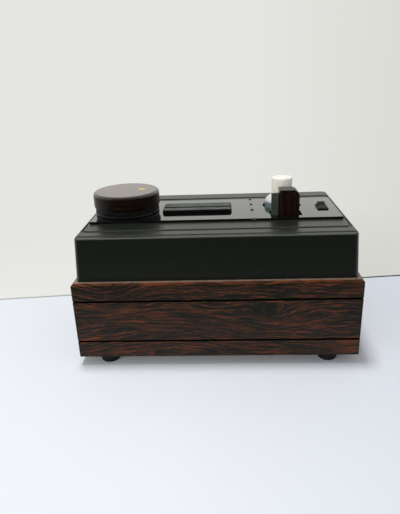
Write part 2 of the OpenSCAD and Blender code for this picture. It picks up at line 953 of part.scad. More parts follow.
// The motor's shaft with its armature and the fan wheel, whose vanes lean back from the way it turns
module motor_rotor() {
    wheel_r = fan_case_d / 2 - 7;
    wheel_x = motor_len + wheel_inset;
    disc_t = 2;
    hub_r = 9;
    stub = 3;
    armature_r = motor_d / 2 - 18;
    armature_room = 14;
    vane_t = 1.6;
    vane_lean = 18;
    color("#b4b6b2")
    translate([motor_x0, 0, motor_z])
        rotate([0, 90, 0]) {
            translate([0, 0, -stub])
                cylinder(r = rotor_r, h = wheel_x + wheel_w + 2 * stub);
            translate([0, 0, armature_room])
                cylinder(r = armature_r, h = motor_len - 2 * armature_room);
            translate([0, 0, wheel_x])
                cylinder(r = wheel_r, h = disc_t);
            translate([0, 0, wheel_x])
                cylinder(r = hub_r, h = wheel_w);
            for (i = [0 : vane_count - 1])
                rotate([0, 0, i * 360 / vane_count])
                    translate([hub_r - 1, -1, wheel_x])
                        rotate([0, 0, vane_lean])
                            cube([wheel_r - hub_r - 3, vane_t, wheel_w]);
        }
}

// Saddle that carries the motor on the bottom panel
module motor_cradle() {
    saddle_t = 10;
    saddle_w = 68;
    saddle_h = motor_z - panel_top - 14;
    plate_h = 3;
    plate_l = motor_len - 12;
    color("#5f625f")
    difference() {
        translate([motor_x0 + (motor_len - plate_l) / 2, -saddle_w / 2, panel_top]) {
            cube([plate_l, saddle_w, plate_h]);
            for (x = [plate_h, plate_l - saddle_t - plate_h])
                translate([x, 0, 0])
                    cube([saddle_t, saddle_w, saddle_h]);
        }
        translate([motor_x0, 0, motor_z])
            rotate([0, 90, 0])
                cylinder(r = motor_d / 2 + fit_gap, h = motor_len);
    }
}

// Rubber plug in the end of the drain
module drain_plug() {
    head_t = 3;
    stem = 12;
    color("#141414")
    translate([drain_x, drain_end + seat_gap, drain_z])
        rotate([-90, 0, 0]) {
            cylinder(r = drain_r - 0.5, h = head_t);
            translate([0, 0, -stem])
                cylinder(r = drain_r - drain_wall - 0.3, h = stem + over);
        }
}

// Round well in which the bottle stands
module bottle_well() {
    bottom = well_floor - well_wall;
    color("#161817")
    translate([bottle_x, bottle_y, 0])
        difference() {
            translate([0, 0, bottom])
                cylinder(r = well_r + well_wall, h = under_hood - bottom);
            translate([0, 0, well_floor])
                cylinder(r = well_r, h = under_hood);
        }
}

// Blow-moulded bottle, a thin shell with a round shoulder and an open neck
module fluid_bottle() {
    r = bottle_d / 2;
    color("#e9ebe6")
    translate([bottle_x, bottle_y, bottle_z])
        rotate_extrude()
            difference() {
                bottle_outline(r, bottle_side_h, neck_d / 2, 0);
                translate([0, bottle_wall])
                    bottle_outline(r - bottle_wall, bottle_side_h - bottle_wall, neck_d / 2 - bottle_wall, over);
            }
}

// Half section of the bottle's outside: straight side, cone-like shoulder and neck
module bottle_outline(r, side_h, neck, extra) {
    translate([0, bottle_foot_r])
        square([r, side_h - bottle_foot_r]);
    square([r - bottle_foot_r, bottle_foot_r + over]);
    intersection() {
        translate([r - bottle_foot_r, bottle_foot_r])
            circle(bottle_foot_r, $fn = 48);
        square([r, side_h]);
    }
    polygon([
        [0, side_h - eps],
        for (a = [0 : 15 : 90]) [
            neck + (r - neck) * (0.55 * cos(a) + 0.45 * (1 - a / 90)),
            side_h + shoulder_h * (0.5 * sin(a) + 0.5 * a / 90)
        ],
        [0, side_h + shoulder_h],
    ]);
    translate([0, side_h + shoulder_h - eps])
        square([neck, neck_h + extra]);
}

// The cleaning fluid that fills the bottle to its shoulder
module cleaning_fluid() {
    headroom = 4;
    color("#2f5f70")
    translate([bottle_x, bottle_y, bottle_z + bottle_wall])
        intersection() {
            rotate_extrude()
                bottle_outline(bottle_d / 2 - bottle_wall, bottle_side_h - bottle_wall, neck_d / 2 - bottle_wall, 0);
            cylinder(r = bottle_d, h = bottle_side_h - headroom);
        }
}

// Tall white screw cap of the bottle
module bottle_cap() {
    r = bottle_cap_d / 2;
    edge_r = 1;
    top_t = 2.5;
    color("#f0eee2")
    translate([bottle_x, bottle_y, bottle_cap_z])
        rotate_extrude()
            difference() {
                union() {
                    square([r, bottle_cap_h - edge_r]);
                    square([r - edge_r, bottle_cap_h]);
                    translate([r - edge_r, bottle_cap_h - edge_r])
                        circle(edge_r, $fn = 32);
                }
                translate([0, -over])
                    square([neck_d / 2 + slip_gap * 2, bottle_cap_h - top_t + over]);
            }
}

// Square well in which the brush stands
module brush_well() {
    bottom = brush_z - seat_gap - well_wall;
    w = brush_well_x1 - brush_well_x0;
    color("#161817")
    difference() {
        translate([brush_well_x0 - well_wall, brush_y - brush_well_d / 2 - well_wall, bottom])
            cube([w + 2 * well_wall, brush_well_d + 2 * well_wall, under_hood - bottom]);
        translate([brush_well_x0, brush_y - brush_well_d / 2, bottom + well_wall])
            cube([w, brush_well_d, under_hood]);
        translate([bottle_x, bottle_y, bottom - over])
            cylinder(r = well_r + well_wall + fit_gap, h = under_hood);
    }
}

// Rosewood brush handle with two round outer corners, standing on its end
module brush_handle() {
    color("#3b1c16")
    translate([0, brush_y + handle_t / 2, 0])
        rotate([90, 0, 0])
            linear_extrude(handle_t)
                translate([handle_x0, brush_z])
                    union() {
                        square([handle_w - handle_r, handle_len]);
                        translate([0, handle_r])
                            square([handle_w, handle_len - 2 * handle_r]);
                        for (z = [handle_r, handle_len - handle_r])
                            translate([handle_w - handle_r, z])
                                circle(handle_r);
                    }
}

// The brush's row of dark bristles: four-sided strands of three lengths in staggered columns, fused to the slice of
// backing that holds them on the handle
module brush_bristles() {
    end_margin = 5.6;
    edge = 0.7;
    backing_t = 1.2;
    strand = 0.62;
    trim = 0.3;
    row_pitch = (handle_len - 2 * (end_margin + edge)) / (bristle_rows + 0.5);
    column_pitch = (bristle_t - 2 * edge) / (bristle_columns - 1);
    color("#2b302d")
    translate([handle_x0, brush_y - bristle_t / 2, brush_z + end_margin])
        rotate([0, -90, 0]) {
            linear_extrude(backing_t)
                square([handle_len - 2 * end_margin, bristle_t]);
            for (kind = [0 : 2])
                translate([0, 0, backing_t / 2])
                    linear_extrude(bristle_len - backing_t / 2 - kind * trim)
                        for (i = [0 : bristle_rows - 1], j = [0 : bristle_columns - 1])
                            if ((i + 2 * j) % 3 == kind)
                                translate([edge + (i + 0.5 + j % 2 / 2) * row_pitch, edge + j * column_pitch])
                                    rotate(45)
                                        square(strand, center = true);
        }
}

// Rocker switch's frame, its housing under the deck and its three terminals
module switch_frame() {
    depth = 22;
    terminal = [0.8, 6, 9];
    terminal_pitch = 8;
    room_h = 14;
    color("#141514")
    translate([switch_x, switch_y, 0])
        difference() {
            union() {
                translate([0, 0, deck_z])
                    linear_extrude(frame_h)
                        rounded_square(switch_w, switch_len, 1.2);
                translate([-cutout_w / 2, -cutout_len / 2, deck_z - depth])
                    cube([cutout_w, cutout_len, depth + over]);
                for (i = [-1 : 1])
                    translate([-terminal[0] / 2, i * terminal_pitch - terminal[1] / 2, deck_z - depth - terminal[2] + over])
                        cube(terminal);
            }
            translate([-rocker_w / 2 - rocker_gap, -rocker_r - rocker_gap, deck_z - room_h])
                cube([rocker_w + 2 * rocker_gap, 2 * (rocker_r + rocker_gap), room_h + frame_h + over]);
            translate([-cutout_w / 2 - over, 0, pivot_z])
                rotate([0, 90, 0])
                    cylinder(r = pivot_r + run_gap, h = cutout_w + 2 * over);
        }
}

// Rocker, resting with its back end raised: a dished top, round ends and two pivot pins
module switch_rocker() {
    end_z = 5;
    dish_z = 3.6;
    skirt_z = 3;
    heel = [5, 7];
    color("#1b1d1c")
    translate([switch_x, switch_y, pivot_z])
        rotate([rocker_tilt, 0, 0]) {
            intersection() {
                rotate([90, 0, 90])
                    linear_extrude(rocker_w, center = true)
                        polygon([
                            [-rocker_r - over, end_z],
                            [0, dish_z],
                            [rocker_r + over, end_z],
                            [rocker_r + over, -skirt_z],
                            [heel[0], -heel[1]],
                            [-heel[0], -heel[1]],
                            [-rocker_r - over, -skirt_z],
                        ]);
                rotate([0, 90, 0])
                    cylinder(r = rocker_r, h = rocker_w, center = true);
            }
            rotate([0, 90, 0])
                cylinder(r = pivot_r, h = cutout_w - 2 * seat_gap, center = true);
        }
}

// Gland through which the mains cord enters
module cord_gland() {
    nut_t = 4;
    neck_len = board_t + 2;
    color("#121212")
    translate([gland_x, inner_d / 2 - nut_t, gland_z])
        rotate([-90, 0, 0])
            difference() {
                union() {
                    cylinder(r = gland_neck_r, h = neck_len);
                    translate([0, 0, nut_t + board_t - gland_pocket + fit_gap])
                        cylinder(r = gland_flange_r, h = gland_flange_t);
                    cylinder(r = gland_flange_r, h = nut_t - fit_gap);
                }
                translate([0, 0, -over])
                    cylinder(r = gland_r, h = neck_len + 2 * over);
            }
}

front_board();
rear_board();
left_board();
right_board();
hood_cleats();
bottom_panel();
foot(-1, -1);  // foot_front_left
foot(1, -1);  // foot_front_right
foot(-1, 1);  // foot_rear_left
foot(1, 1);  // foot_rear_right
foot_screws();
panel_screws();
hood();
deck_plate(-deck_w / 2, joint_x - joint_gap / 2);  // deck_plate_left
deck_plate(joint_x + joint_gap / 2, deck_w / 2);  // deck_plate_right
joint_strip();
bearing_housing();
platter();
shaft_collar();
platter_mat();
clamp_knob();
clamp_bush();
clamp_pad();
index_dot();
pickup_bar();
velvet_lip(-1);  // velvet_lip_front
velvet_lip(1);  // velvet_lip_rear
pickup_duct();
suction_hose();
waste_tank();
intake_sleeve();
fan_case();
motor_case();
motor_rotor();
motor_cradle();
drain_plug();
bottle_well();
fluid_bottle();
cleaning_fluid();
bottle_cap();
brush_well();
brush_handle();
brush_bristles();
switch_frame();
switch_rocker();
cord_gland();
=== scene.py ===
import json
import math

import bpy
import numpy as np
from mathutils import Matrix, Vector

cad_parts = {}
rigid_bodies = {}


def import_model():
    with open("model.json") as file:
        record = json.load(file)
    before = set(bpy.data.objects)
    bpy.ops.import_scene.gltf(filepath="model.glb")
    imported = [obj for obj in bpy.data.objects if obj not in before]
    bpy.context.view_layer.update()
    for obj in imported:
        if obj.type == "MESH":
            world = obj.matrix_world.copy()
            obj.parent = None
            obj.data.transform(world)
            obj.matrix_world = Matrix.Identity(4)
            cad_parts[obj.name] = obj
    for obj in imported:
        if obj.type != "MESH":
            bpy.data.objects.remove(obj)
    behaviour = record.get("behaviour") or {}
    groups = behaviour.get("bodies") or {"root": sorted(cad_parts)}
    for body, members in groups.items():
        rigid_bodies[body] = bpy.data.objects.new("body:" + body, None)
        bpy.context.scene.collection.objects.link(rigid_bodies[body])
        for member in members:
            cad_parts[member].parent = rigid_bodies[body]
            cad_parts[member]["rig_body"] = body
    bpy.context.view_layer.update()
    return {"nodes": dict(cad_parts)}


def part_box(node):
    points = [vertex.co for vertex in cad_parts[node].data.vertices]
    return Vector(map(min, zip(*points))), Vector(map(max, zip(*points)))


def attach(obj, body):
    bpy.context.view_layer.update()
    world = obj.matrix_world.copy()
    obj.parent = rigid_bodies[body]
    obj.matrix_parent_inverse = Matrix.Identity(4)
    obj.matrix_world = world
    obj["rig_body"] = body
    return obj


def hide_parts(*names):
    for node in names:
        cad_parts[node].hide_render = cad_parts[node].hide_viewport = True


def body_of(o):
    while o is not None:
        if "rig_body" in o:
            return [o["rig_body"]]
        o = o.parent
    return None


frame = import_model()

MM = 0.001
nodes = frame["nodes"]


def srgb(r, g, b):
    """A colour given in 0..255 display values, as the linear values that shaders take."""
    return tuple((v / 255 / 12.92) if v < 10 else ((v / 255 + 0.055) / 1.055) ** 2.4 for v in (r, g, b)) + (1.0,)


# ---------------------------------------------------------------- camera

PHOTO_W, PHOTO_H = 400, 514
FOCAL_PX = 488.932
YAW, PITCH, ROLL = -0.0556, 0.3685, -0.0388
CAMERA_AT = Vector((13.2007, -682.4105, 374.0845)) * MM
SENSOR = 36.0


def add_camera():
    forward = Vector((math.sin(YAW) * math.cos(PITCH), math.cos(YAW) * math.cos(PITCH), -math.sin(PITCH)))
    level = Vector((math.cos(YAW), -math.sin(YAW), 0))
    above = level.cross(forward)
    right = math.cos(ROLL) * level + math.sin(ROLL) * above
    up = -math.sin(ROLL) * level + math.cos(ROLL) * above
    data = bpy.data.cameras.new("camera")
    data.sensor_width = SENSOR
    data.lens = FOCAL_PX * SENSOR / max(PHOTO_W, PHOTO_H)
    camera = bpy.data.objects.new("camera", data)
    bpy.context.collection.objects.link(camera)
    camera.matrix_world = Matrix.Translation(CAMERA_AT) @ Matrix((right, up, -forward)).transposed().to_4x4()
    bpy.context.scene.camera = camera


add_camera()
bpy.context.scene.view_settings.view_transform = "Standard"

# ---------------------------------------------------------------- shader building


class Shader:
    """A material whose nodes are added by short calls. Sockets of the main shader are set by keyword."""

    SOCKETS = {
        "color": "Base Color", "rough": "Roughness", "metal": "Metallic", "ior": "IOR", "coat": "Coat Weight",
        "coat_rough": "Coat Roughness", "coat_ior": "Coat IOR", "sheen": "Sheen Weight", "sheen_rough": "Sheen Roughness",
        "sheen_tint": "Sheen Tint", "through": "Transmission Weight", "scatter": "Subsurface Weight",
        "scatter_radius": "Subsurface Radius", "scatter_scale": "Subsurface Scale", "normal": "Normal",
        "coat_normal": "Coat Normal", "aniso": "Anisotropic", "spec": "Specular IOR Level",
    }

    def __init__(self, name, **sockets):
        self.material = bpy.data.materials.new(name)
        self.material.use_nodes = True
        self.tree = self.material.node_tree
        self.main = self.tree.nodes["Principled BSDF"]
        self.set(**sockets)
        self._place = None

    def set(self, **sockets):
        for key, value in sockets.items():
            self.put(self.main.inputs[self.SOCKETS[key]], value)

    def put(self, socket, value):
        if isinstance(value, bpy.types.NodeSocket):
            self.tree.links.new(value, socket)
        else:
            socket.default_value = value

    def node(self, kind, *values, out=0, **settings):
        """Adds a node, fills its inputs in order (None leaves one as it is), and returns one output."""
        made = self.tree.nodes.new("ShaderNode" + kind)
        for key, value in settings.items():
            if key in made.inputs:
                self.put(made.inputs[key], value)
            else:
                setattr(made, key, value)
        for socket, value in zip(made.inputs, values):
            if value is not None:
                self.put(socket, value)
        return made.outputs[out]

    @property
    def place(self):
        """The point on the surface, in metres in the frame's axes."""
        if self._place is None:
            self._place = self.node("TexCoord", out=3)
        return self._place

    def axes(self, vector=None):
        made = self.tree.nodes.new("ShaderNodeSeparateXYZ")
        self.put(made.inputs[0], vector or self.place)
        return made.outputs[0], made.outputs[1], made.outputs[2]

    def math(self, operation, *values):
        return self.node("Math", *values, operation=operation)

    def vector(self, *values):
        return self.node("CombineXYZ", *values)

    def scaled(self, scale, vector=None, move=(0, 0, 0)):
        return self.node("Mapping", vector or self.place, move, (0, 0, 0), scale, vector_type="POINT")

    def noise(self, scale, vector=None, detail=3.0, rough=0.55, bend=0.0):
        made = self.tree.nodes.new("ShaderNodeTexNoise")
        self.put(made.inputs["Vector"], vector or self.place)
        for key, value in (("Scale", scale), ("Detail", detail), ("Roughness", rough), ("Distortion", bend)):
            made.inputs[key].default_value = value
        return made.outputs["Fac"]

    def ramp(self, value, *stops, smooth=False):
        made = self.tree.nodes.new("ShaderNodeValToRGB")
        made.color_ramp.interpolation = "EASE" if smooth else "LINEAR"
        elements = made.color_ramp.elements
        while len(elements) < len(stops):
            elements.new(0.5)
        for element, (at, color) in zip(elements, stops):
            element.position = at
            element.color = color if isinstance(color, tuple) else (color, color, color, 1.0)
        self.put(made.inputs[0], value)
        return made.outputs[0]

    def span(self, value, low, high, to_low=0.0, to_high=1.0):
        return self.node("MapRange", value, low, high, to_low, to_high)

    def mix(self, factor, a, b, blend="MIX"):
        made = self.tree.nodes.new("ShaderNodeMix")
        made.data_type = "RGBA"
        made.blend_type = blend
        self.put(made.inputs[0], factor)
        self.put(made.inputs[6], a)
        self.put(made.inputs[7], b)
        return made.outputs[2]

    def bump(self, height, strength, depth, normal=None):
        """A bump from a height of 0..1; depth is the relief in metres."""
        made = self.tree.nodes.new("ShaderNodeBump")
        made.inputs["Strength"].default_value = strength
        made.inputs["Distance"].default_value = depth
        self.put(made.inputs["Height"], height)
        if normal is not None:
            self.put(made.inputs["Normal"], normal)
        return made.outputs[0]


# ---------------------------------------------------------------- materials

FRONT, SIDE = 0, 1
EYE = (0.080, 0.076)
GRAIN_HILLS = [
    # along, across, half length, half height, lift of the grain's lines
    (EYE[0], EYE[1], 0.026, 0.010, 0.009),
    (EYE[0] + 0.012, EYE[1] - 0.012, 0.075, 0.026, 0.013),
    (-0.075, 0.022, 0.075, 0.030, -0.020),
    (-0.150, 0.100, 0.045, 0.026, 0.014),
    (0.165, 0.040, 0.045, 0.030, 0.010),
]


def veneer(name, axis, shift):
    """Dark streaked wood. The grain runs along the board (X or Y) and bends round the hills of GRAIN_HILLS."""
    s = Shader(name, ior=1.30, rough=0.42)
    x, y, z = s.axes()
    along, across = (x, z) if axis == FRONT else (y, z)
    depth = y if axis == FRONT else x
    along = s.math("ADD", along, shift)
    drift = s.noise(1.0, s.vector(s.math("MULTIPLY", along, 9.0), s.math("MULTIPLY", z, 22.0), shift), detail=2.0)
    line = s.math("ADD", across, s.math("MULTIPLY", s.math("SUBTRACT", drift, 0.5), 0.030))
    for at, height, length, half, lift in GRAIN_HILLS:
        dx = s.math("DIVIDE", s.math("SUBTRACT", along, at), length)
        dz = s.math("DIVIDE", s.math("SUBTRACT", across, height), half)
        r2 = s.math("ADD", s.math("MULTIPLY", dx, dx), s.math("MULTIPLY", dz, dz))
        hill = s.math("MULTIPLY", s.math("EXPONENT", s.math("MULTIPLY", r2, -1.0)), lift)
        line = s.math("ADD", line, hill)
    flow = s.vector(s.math("MULTIPLY", along, 21.0), s.math("MULTIPLY", line, 430.0), s.math("MULTIPLY", depth, 60.0))
    streak = s.noise(1.0, flow, detail=4.0, rough=0.62)
    fine = s.noise(1.0, s.vector(s.math("MULTIPLY", along, 95.0), s.math("MULTIPLY", line, 1300.0), depth), detail=2.5)
    patch = s.noise(1.0, s.vector(s.math("MULTIPLY", along, 13.0), s.math("MULTIPLY", line, 45.0), shift), detail=2.0)
    mixed = s.math("ADD", streak, s.math("MULTIPLY", s.math("SUBTRACT", patch, 0.5), 0.34))
    mixed = s.math("ADD", mixed, s.math("MULTIPLY", s.math("SUBTRACT", fine, 0.5), 0.55))
    tone = s.ramp(
        mixed,
        (0.36, srgb(13, 15, 10)),
        (0.46, srgb(21, 21, 14)),
        (0.54, srgb(49, 31, 18)),
        (0.63, srgb(84, 42, 22)),
        (0.77, srgb(116, 58, 29)),
    )
    # Painted highlight: a lighter band round the rounded top edge of the ledge.
    edge = s.math("MULTIPLY", s.span(z, 0.1168, 0.1195), s.ramp(mixed, (0.38, 0.08), (0.62, 0.60)))
    tone = s.mix(edge, tone, srgb(118, 64, 34))
    # Painted sheen: a pale grey band on the flat of the ledge at the hood's foot.
    tone = s.mix(s.math("MULTIPLY", s.span(z, 0.1200, 0.1204), s.ramp(fine, (0.3, 0.5), (0.6, 0.9))), tone, srgb(150, 132, 118))
    face, corner = (0.117, 0.1875) if axis == FRONT else (0.1875, 0.117)
    sunk = s.span(s.math("ABSOLUTE", depth), face - 0.0004, face - 0.00005, 1.0, 0.0)
    shade = 0.0
    for groove in (0.0365, 0.0950):
        near = s.span(s.math("ABSOLUTE", s.math("SUBTRACT", z, groove)), 0.0017, 0.0022, 1.0, 0.0)
        shade = s.math("ADD", shade, s.math("MULTIPLY", near, sunk))
    tone = s.mix(shade, tone, srgb(3, 3, 3))
    s.set(spec=s.span(shade, 0.0, 1.0, 0.5, 0.0))
    # Painted shade: the rounded upright corners and the bottom edge are darkened.
    rim_shade = s.math("ABSOLUTE", s.math("SUBTRACT", along, shift))
    rim_shade = s.math("MAXIMUM", s.span(rim_shade, corner - 0.0026, corner - 0.0012), s.span(z, 0.0142, 0.0128))
    s.set(color=s.mix(s.math("MULTIPLY", rim_shade, 0.8), tone, srgb(12, 14, 11)))
    s.set(rough=s.ramp(fine, (0.3, 0.34), (0.7, 0.50)))
    s.set(normal=s.bump(s.math("ADD", streak, fine), 0.35, 0.00012))
    return s.material


def moulded(name, color, rough, ior, grain=1400.0, relief=0.00006, dust_and_sheen=0.0, strength=0.5, cloud=34.0, riser_highlight=None):
    """Moulded plastic with a fine pebbled grain and faint handling marks. Faces that point up get a paler tone, partly
    dirt and partly a painted sheen; the hood's small step faces can get a painted highlight.
    """
    s = Shader(name, rough=rough, ior=ior)
    pebbles = s.noise(grain, detail=2.0, rough=0.5)
    marks = s.noise(cloud, detail=4.0, rough=0.65, bend=0.4)
    base = tuple(color)
    low = tuple(v * 0.72 for v in base[:3]) + (1.0,)
    high = tuple(min(1.0, v * 1.35) for v in base[:3]) + (1.0,)
    tone = s.ramp(marks, (0.32, low), (0.5, base), (0.72, high))
    if dust_and_sheen:
        # Paler tone on faces that point up: dirt, and a painted sheen.
        up = s.axes(s.node("NewGeometry", out=1))[2]
        amount = s.math("MULTIPLY", s.span(up, 0.95, 0.995), s.ramp(s.noise(90.0, detail=5.0, rough=0.7), (0.35, dust_and_sheen / 2), (0.75, dust_and_sheen)))
        tone = s.mix(amount, tone, srgb(150, 152, 146))
    # Painted highlight: a paler tone on the hood's small step faces at its front and back.
    if riser_highlight:
        y, z = s.axes()[1:]
        sideways, _, up = s.axes(s.node("NewGeometry", out=1))
        steep = s.math("MULTIPLY", s.span(up, 0.92, 0.6), s.span(z, 0.1770, 0.1785))
        steep = s.math("MULTIPLY", steep, s.span(s.math("ABSOLUTE", sideways), 0.45, 0.25))
        front = s.math("MULTIPLY", s.span(y, -0.1150, -0.1125), s.span(y, -0.0640, -0.0660))
        back = s.math("MULTIPLY", s.span(y, 0.0400, 0.0420), s.span(y, 0.1150, 0.1125))
        riser_highlight_mask = s.math("MULTIPLY", steep, s.math("ADD", front, back))
        tone = s.mix(s.math("MULTIPLY", riser_highlight_mask, s.ramp(pebbles, (0.3, 0.6), (0.6, 1.0))), tone, srgb(*riser_highlight))
    s.set(color=tone)
    s.set(rough=s.ramp(marks, (0.3, max(0.02, rough - 0.06)), (0.7, rough + 0.07)))
    s.set(normal=s.bump(pebbles, strength, relief))
    return s.material


def gloss_plate():
    """Polished black sheet with faint wiping marks."""
    s = Shader("gloss_plate", ior=1.43, coat=1.0, coat_ior=1.36, coat_rough=0.03)
    wipes = s.noise(1.0, s.scaled((40.0, 260.0, 1.0)), detail=4.0, rough=0.6, bend=0.8)
    smear = s.noise(12.0, detail=3.0)
    s.set(color=s.ramp(smear, (0.3, srgb(4, 5, 4)), (0.7, srgb(9, 10, 9))))
    s.set(rough=s.ramp(wipes, (0.35, 0.05), (0.75, 0.13)))
    s.set(normal=s.bump(smear, 0.05, 0.0002))
    return s.material


def rubber(name, color, rough=0.62, grain=2600.0):
    s = Shader(name, rough=rough, ior=1.34)
    speck = s.noise(grain, detail=2.0)
    bloom = s.noise(60.0, detail=4.0, rough=0.6)
    s.set(color=s.ramp(bloom, (0.3, color), (0.75, tuple(min(1.0, v * 1.7 + 0.002) for v in color[:3]) + (1.0,))))
    s.set(rough=s.ramp(bloom, (0.3, rough - 0.08), (0.7, rough + 0.10)))
    s.set(normal=s.bump(speck, 0.4, 0.00005))
    return s.material


def brushed(name, color, rough=0.32, axis=0, metal=1.0):
    """Metal with fine lines along one axis."""
    s = Shader(name, metal=metal, rough=rough)
    scale = [2400.0, 2400.0, 2400.0]
    scale[axis] = 45.0
    lines = s.noise(1.0, s.scaled(tuple(scale)), detail=2.0)
    cloud = s.noise(45.0, detail=4.0)
    dark = tuple(v * 0.62 for v in color[:3]) + (1.0,)
    s.set(color=s.ramp(cloud, (0.3, dark), (0.65, color)))
    s.set(rough=s.ramp(lines, (0.3, rough - 0.08), (0.7, rough + 0.12)))
    s.set(normal=s.bump(lines, 0.25, 0.00003))
    return s.material


def enamel(name, color):
    s = Shader(name, rough=0.38, ior=1.5)
    peel = s.noise(420.0, detail=2.0)
    cloud = s.noise(30.0, detail=4.0)
    dark = tuple(v * 0.7 for v in color[:3]) + (1.0,)
    s.set(color=s.ramp(cloud, (0.35, dark), (0.6, color)))
    s.set(rough=s.ramp(cloud, (0.3, 0.30), (0.7, 0.48)))
    s.set(normal=s.bump(peel, 0.3, 0.00006))
    return s.material


def turned_wood(name, center, dark, mid, light, coat=1.0, coat_rough=0.14):
    """Polished wood turned on a lathe: straight pores across its top, and faint tool lines round its side."""
    s = Shader(name, ior=1.44, rough=0.30, coat=coat, coat_rough=coat_rough, coat_ior=1.48)
    x, y, z = s.axes()
    dx = s.math("SUBTRACT", x, center[0])
    dy = s.math("SUBTRACT", y, center[1])
    sweep = s.noise(1.0, s.vector(s.math("MULTIPLY", dx, 22.0), s.math("MULTIPLY", dy, 9.0), 0.0), detail=2.0)
    line = s.math("ADD", dy, s.math("MULTIPLY", sweep, 0.02))
    grain = s.noise(1.0, s.vector(s.math("MULTIPLY", dx, 30.0), s.math("MULTIPLY", line, 420.0), s.math("MULTIPLY", z, 150.0)),
                    detail=4.0, rough=0.6)
    pores = s.noise(1.0, s.vector(s.math("MULTIPLY", dx, 160.0), s.math("MULTIPLY", dy, 2600.0), s.math("MULTIPLY", z, 2600.0)),
                    detail=1.0)
    wood = s.mix(s.ramp(pores, (0.30, 0.7), (0.42, 0.0)), s.ramp(grain, (0.35, dark), (0.52, mid), (0.70, light)), dark)
    tool = s.node("TexWave", s.vector(0.0, 0.0, z), 900.0, 0.4, 2.0, bands_direction="Z")
    s.set(rough=s.ramp(grain, (0.3, 0.26), (0.7, 0.40)))
    s.set(normal=s.bump(s.math("ADD", tool, s.math("MULTIPLY", pores, 0.6)), 0.18, 0.00006))
    up = s.axes(s.node("NewGeometry", out=1))[2]
    s.set(coat=s.span(up, 0.02, 0.45, 0.0, coat))
    s.set(spec=s.span(up, 0.02, 0.45, 0.17, 0.5))
    s.set(coat_rough=s.span(up, 0.90, 0.99, 0.30, coat_rough))
    # Painted shade: the side and rounding are mixed nearly to black by how far they tilt from up, with faint rings
    # round the side.
    lines = s.ramp(s.noise(1.0, s.vector(0.0, 0.0, s.math("MULTIPLY", z, 700.0)), detail=2.0), (0.4, 0.82), (0.6, 0.98))
    s.set(color=s.mix(s.span(up, 0.99, 0.93, 0.0, lines), wood, srgb(7, 7, 5)))
    return s.material


def handle_wood():
    """Dark red oiled wood with its grain up the handle."""
    s = Shader("handle_wood", ior=1.30, rough=0.33, coat=0.12, coat_rough=0.2)
    x, y, z = s.axes()
    bend = s.noise(1.0, s.vector(s.math("MULTIPLY", x, 20.0), 0.0, s.math("MULTIPLY", z, 12.0)), detail=2.0)
    line = s.math("ADD", x, s.math("MULTIPLY", bend, 0.012))
    grain = s.noise(1.0, s.vector(s.math("MULTIPLY", line, 460.0), s.math("MULTIPLY", y, 300.0), s.math("MULTIPLY", z, 22.0)),
                    detail=4.0, rough=0.6)
    pores = s.noise(1.0, s.vector(s.math("MULTIPLY", x, 2800.0), s.math("MULTIPLY", y, 2800.0), s.math("MULTIPLY", z, 130.0)),
                    detail=1.0)
    tone = s.ramp(grain, (0.34, srgb(12, 8, 5)), (0.52, srgb(28, 15, 9)), (0.68, srgb(52, 25, 15)))
    s.set(color=s.mix(s.ramp(pores, (0.30, 0.7), (0.42, 0.0)), tone, srgb(10, 6, 6)))
    s.set(rough=s.ramp(grain, (0.3, 0.28), (0.7, 0.42)))
    s.set(normal=s.bump(s.math("ADD", grain, pores), 0.2, 0.00008))
    return s.material


def velvet():
    """Black pile with a sheen, and a painted grey sheen in its colour where its top is seen at a low angle."""
    s = Shader("velvet", ior=1.3, rough=0.9, sheen=0.45, sheen_rough=0.32, sheen_tint=srgb(176, 180, 176))
    nap = s.noise(1.0, s.scaled((420.0, 900.0, 900.0)), detail=3.0)
    lay = s.noise(55.0, detail=3.0, bend=0.6)
    tone = s.math("ADD", s.math("MULTIPLY", nap, 0.6), s.math("MULTIPLY", lay, 0.4))
    dark = s.ramp(tone, (0.35, srgb(4, 5, 4)), (0.65, srgb(10, 12, 10)))
    # Painted sheen: a grey tone mixed in where the top of the pile is seen at a low angle.
    tips = s.ramp(tone, (0.35, srgb(124, 130, 124)), (0.65, srgb(168, 174, 168)))
    z = s.axes()[2]
    shine = s.node("LayerWeight", 0.5, s.vector(0.0, 0.0, 1.0), out=1)
    lit = s.math("MULTIPLY", s.span(shine, 0.45, 0.85), s.span(z, 0.1870, 0.1880))
    s.set(color=s.mix(lit, dark, tips))
    s.set(normal=s.bump(nap, 0.5, 0.0002))
    return s.material


def bristle_fibre():
    s = Shader("bristle_fibre", ior=1.45, rough=0.5, sheen=0.35, sheen_rough=0.4, sheen_tint=srgb(150, 160, 154))
    each = s.noise(1.0, s.scaled((60.0, 2600.0, 2600.0)), detail=1.0)
    lean = s.noise(70.0, detail=2.0)
    tone = s.math("ADD", s.math("MULTIPLY", each, 0.7), s.math("MULTIPLY", lean, 0.3))
    s.set(color=s.ramp(tone, (0.36, srgb(42, 50, 43)), (0.62, srgb(92, 104, 92))))
    return s.material


def clear_bottle():
    """Milky blow-moulded wall."""
    s = Shader("bottle_plastic", ior=1.48, rough=0.34, through=0.22)
    cloud = s.noise(160.0, detail=3.0)
    z = s.axes()[2]
    tone = s.ramp(cloud, (0.3, srgb(226, 225, 214)), (0.7, srgb(240, 238, 229)))
    level = s.span(s.math("ADD", z, s.math("MULTIPLY", cloud, 0.002)), 0.1905, 0.1945, 1.0, 0.0)
    tone = s.mix(s.math("MULTIPLY", level, 0.9), tone, srgb(96, 126, 134))
    s.set(color=tone)
    s.set(rough=s.ramp(cloud, (0.3, 0.30), (0.7, 0.42)))
    s.set(normal=s.bump(cloud, 0.05, 0.0001))
    return s.material


